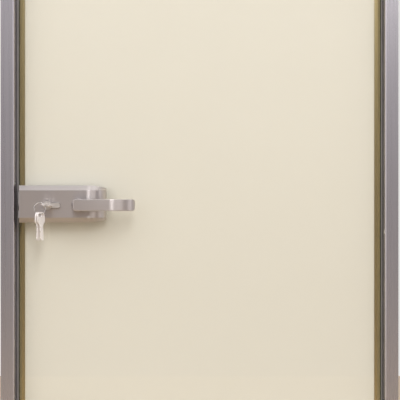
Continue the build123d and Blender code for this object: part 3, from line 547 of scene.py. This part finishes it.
# %% [markdown]
# ## Bevels of the lock cases
#
# In the photograph the strip above the case's face mirrors the ceiling and the one below it the floor, so
# both are bevels of 45 degrees. A Bevel modifier has one width, but this strip narrows as the case's depth
# falls along its nose. So each bevel is a triangle carried along the case: out from the face's edge, straight
# back to the glass, and down the case's own slanted flank.


# %% Bevels
def case_bevel(name, node, glass_y, outward, side):
    """Triangle at x, for a depth d = D - R (1 - cos a) round the nose and a rise w = k d.

    Its corners lie t in front of the glass and z from the case's middle: the face's edge, the point w beyond
    it and w further back, and the foot at the pad.
    """
    low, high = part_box(node)
    depth = abs((low.y if outward < 0 else high.y) - glass_y)
    slope, nose, end_depth, taper = 0.229, 0.039, 0.0125, 0.0044
    face, edge, pad = 0.0273, 0.00078, 0.0005
    run = np.sqrt(nose**2 - (nose - depth + end_depth) ** 2)
    angle = np.linspace(0, np.arcsin(run / nose), 40)
    x = np.r_[low.x, low.x + taper + 0.0001, high.x - run + nose * np.sin(angle)]
    d = depth - nose * (1 - np.cos(np.r_[0, 0, angle]))
    rise = slope * d
    t = np.stack([d - edge, d - edge - rise + slope * edge, np.full_like(d, pad)], axis=1)
    z = np.stack([np.full_like(d, face + slope * edge), face + rise, face + rise - slope * pad], axis=1)
    across = np.repeat(x[:, None], 3, axis=1)
    across[0] += taper * t[0] / depth
    grid = np.stack([across, glass_y + outward * t, (low.z + high.z) / 2 + side * z], axis=-1)
    ends = [np.broadcast_to(grid[i].mean(axis=0), (1, 3, 3)) for i in (0, -1)]
    piece = surface(name, np.concatenate([ends[0], grid, ends[1]]), smooth=False)
    piece.data.materials.append(brushed)
    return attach(piece, "leaf")


for word, side in (("top", 1), ("bottom", -1)):
    case_bevel(f"case_bevel_front_{word}", "lock_case_front", glass_low.y, -1, side)
    case_bevel(f"case_bevel_back_{word}", "lock_case_back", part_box("cream_coat")[1].y, 1, side)
print("bevels on 2 cases")

# %% [markdown]
# ## The lever handles
#
# A lever is a flat bar, straight over the case and then bent back towards the glass, with softly rounded
# edges and corners. A box with modifiers would need two bevels, one for the corners and one for the edges,
# and a bend that starts part way along. So it is a rounded rectangle carried along that path: its half height
# and half thickness are arrays along the path that shrink at both ends, and the ends close by themselves.


# %% The lever's section and path
def rounded_section(half_wide, half_tall, edge, points=10):
    """Corner arcs (W - e) + e cos(a), (T - e) + e sin(a), with angles closest together beside the flats."""
    part = np.linspace(0, 1, points)
    quarter = pi / 2 * part**2 * (3 - 2 * part)
    angle = np.concatenate([quarter + corner * pi / 2 for corner in range(4)])
    wide = np.repeat([1, -1, -1, 1], points) * (half_wide - edge) + edge * np.cos(angle)
    tall = np.repeat([1, 1, -1, -1], points) * (half_tall - edge) + edge * np.sin(angle)
    return wide, tall


def drawn_in(distance, radius):
    """How far a side draws in at this distance from a rounded end: r - sqrt(r^2 - (r - d)^2)."""
    return radius - np.sqrt(radius**2 - np.clip(radius - distance, 0, radius) ** 2)


def turned(profile, x, z, points=64):
    """Rings of (radius, y) about an axis along Y through (x, z)."""
    angle = np.linspace(0, 2 * pi, points, endpoint=False)
    radius, y = np.array(profile).T[:, :, None]
    return np.stack([x + radius * np.cos(angle), y + 0 * angle, z + radius * np.sin(angle)], axis=-1)


lever_x, lever_z, tail = 0.1373, 1.050, 0.0075
half_tall, half_thick, corner, edge = 0.0112, 0.0045, 0.0055, 0.0012
line, bend, sweep = 0.0695, 0.060, 0.9764
print("lever bar", round(1000 * (line + bend * sweep), 1), "mm along its path")


def lever_handle(name, node, root, outward):
    """Outer face at y(s) = face - outward R (1 - cos t), where t = (s - line) / R past the straight line.

    Sections stand across the path. The neck is a turned profile from under the bar to its root.
    """
    low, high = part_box(node)
    face = low.y if outward < 0 else high.y
    rounding = corner * (1 - np.cos(np.linspace(0, pi / 2, 16)))
    length = line + bend * sweep
    s = np.r_[rounding, np.linspace(corner, length - corner, 64)[1:-1], (length - rounding)[::-1]]
    lean = np.clip((s - line) / bend, 0, None)
    x = lever_x - tail + np.minimum(s, line) + bend * np.sin(lean)
    y = face - outward * bend * (1 - np.cos(lean))
    from_end = np.minimum(s, length - s)
    thick = half_thick - drawn_in(from_end, edge)
    tall = half_tall - drawn_in(from_end, edge) - drawn_in(x - x[0], corner) - drawn_in(x[-1] - x, corner)
    across, up = rounded_section(thick[:, None], tall[:, None], edge)
    inward = across + half_thick
    bar = np.stack([
        x[:, None] - inward * np.sin(lean)[:, None],
        y[:, None] - outward * inward * np.cos(lean)[:, None],
        lever_z + up,
    ], axis=-1)
    ends = [np.broadcast_to(bar[i].mean(axis=0), (1, bar.shape[1], 3)) for i in (0, -1)]
    under = face - outward * (2 * half_thick - 0.0005)
    collar = [(0.0001, 0), (0.0106, 0), (0.0097, 0.0010), (0.0092, 0.0018), (0.0090, 0.0028)]
    profile = [(radius, under - outward * depth) for radius, depth in collar]
    profile += [(0.0090, root), (0.0001, root)]
    piece = surface(name, np.concatenate([ends[0], bar, ends[1]]), turned(profile, lever_x, lever_z))
    piece.data.materials.append(brushed)
    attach(piece, "lever")
    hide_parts(node)
    print(name, len(piece.data.polygons), "faces")


# %% Both levers
lever_handle("lever_handle_front", "lever_front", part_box("lever_front")[1].y, -1)
lever_handle("lever_handle_back", "lever_back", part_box("lever_back")[0].y, 1)

# %% [markdown]
# ## Hinge caps
#
# A turned cap closes each end of a hinge pin. A flattened sphere would give the dome but not the bevelled
# rim, so the cap is a profile of radius and height, turned about the pin.


# %% The caps
def hinge_cap(name, x, y, z, up):
    """Rings of radius r at height h: a bevelled rim, then a shallow dome r = R sin(a), h = H cos(a)."""
    dome = np.linspace(pi / 2, 0, 8)
    radii = np.r_[0.0, 0.0068, 0.0074, 0.0074, 0.0068 * np.sin(dome)]
    heights = np.r_[0.0, 0.0, 0.0006, 0.0016, 0.0021 + 0.0006 * np.cos(dome)]
    angle = np.linspace(0, 2 * pi, 48, endpoint=False)
    grid = np.stack([
        x + radii[:, None] * np.cos(angle), y + radii[:, None] * np.sin(angle),
        np.broadcast_to(z + up * heights[:, None], (len(radii), len(angle))),
    ], axis=-1)
    piece = surface(name, grid)
    piece.data.materials.append(brushed_upright)
    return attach(piece, "frame")


for place_name in ("lower", "upper"):
    low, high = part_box(f"hinge_pin_{place_name}")
    axis_x, axis_y = (low.x + high.x) / 2, (low.y + high.y) / 2
    hinge_cap(f"hinge_cap_{place_name}_top", axis_x, axis_y, high.z, 1)
    hinge_cap(f"hinge_cap_{place_name}_foot", axis_x, axis_y, low.z, -1)
print("caps on 2 hinges")

# %% [markdown]
# ## The split ring
#
# A key ring is two turns of flat spring wire lying side by side, with a step where one turn crosses to the
# other. A curve with a bevel profile could twist at the step. Here a small section is carried along the path
# by numpy, and its short side always points along the ring's axis.

# %% The key ring
ring_low, ring_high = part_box("key_ring")
ring_centre = np.array((ring_low + ring_high) / 2)
wire = (ring_high.y - ring_low.y) / 2
radius = (ring_high.x - ring_low.x) / 2 - wire
# At angle t: x = cx + r cos t, z = cz + r sin t, and y moves over by one wire's thickness in a smooth step.
turns = np.linspace(0.05, 4 * pi - 0.45, 260)
step = np.clip((turns - (2 * pi - 0.35)) / 0.3, 0, 1)
shift = wire / 2 * (2 * step * step * (3 - 2 * step) - 1)
section = np.linspace(0, 2 * pi, 12, endpoint=False)
half_wide, half_thick = wire * 0.98, wire * 0.46
power = 0.5
across = half_wide * np.sign(np.cos(section)) * np.abs(np.cos(section)) ** power
thick = half_thick * np.sign(np.sin(section)) * np.abs(np.sin(section)) ** power
reach = radius + across[None, :]
start = 2.2
points = np.stack([
    ring_centre[0] + reach * np.cos(turns + start)[:, None],
    ring_centre[1] + shift[:, None] + thick[None, :],
    ring_centre[2] + reach * np.sin(turns + start)[:, None],
], axis=-1)
cap_start = np.repeat(points[:1].mean(axis=1, keepdims=True), len(section), axis=1)
cap_end = np.repeat(points[-1:].mean(axis=1, keepdims=True), len(section), axis=1)
split_ring = surface("split_ring", np.concatenate([cap_start, points, cap_end]))
split_ring.data.materials.append(plated("ring_steel", (0.70, 0.69, 0.68), 0.16))
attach(split_ring, "key_ring")
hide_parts("key_ring")
print("split ring", len(split_ring.data.polygons), "faces, radius", round(radius * 1000, 2), "mm")
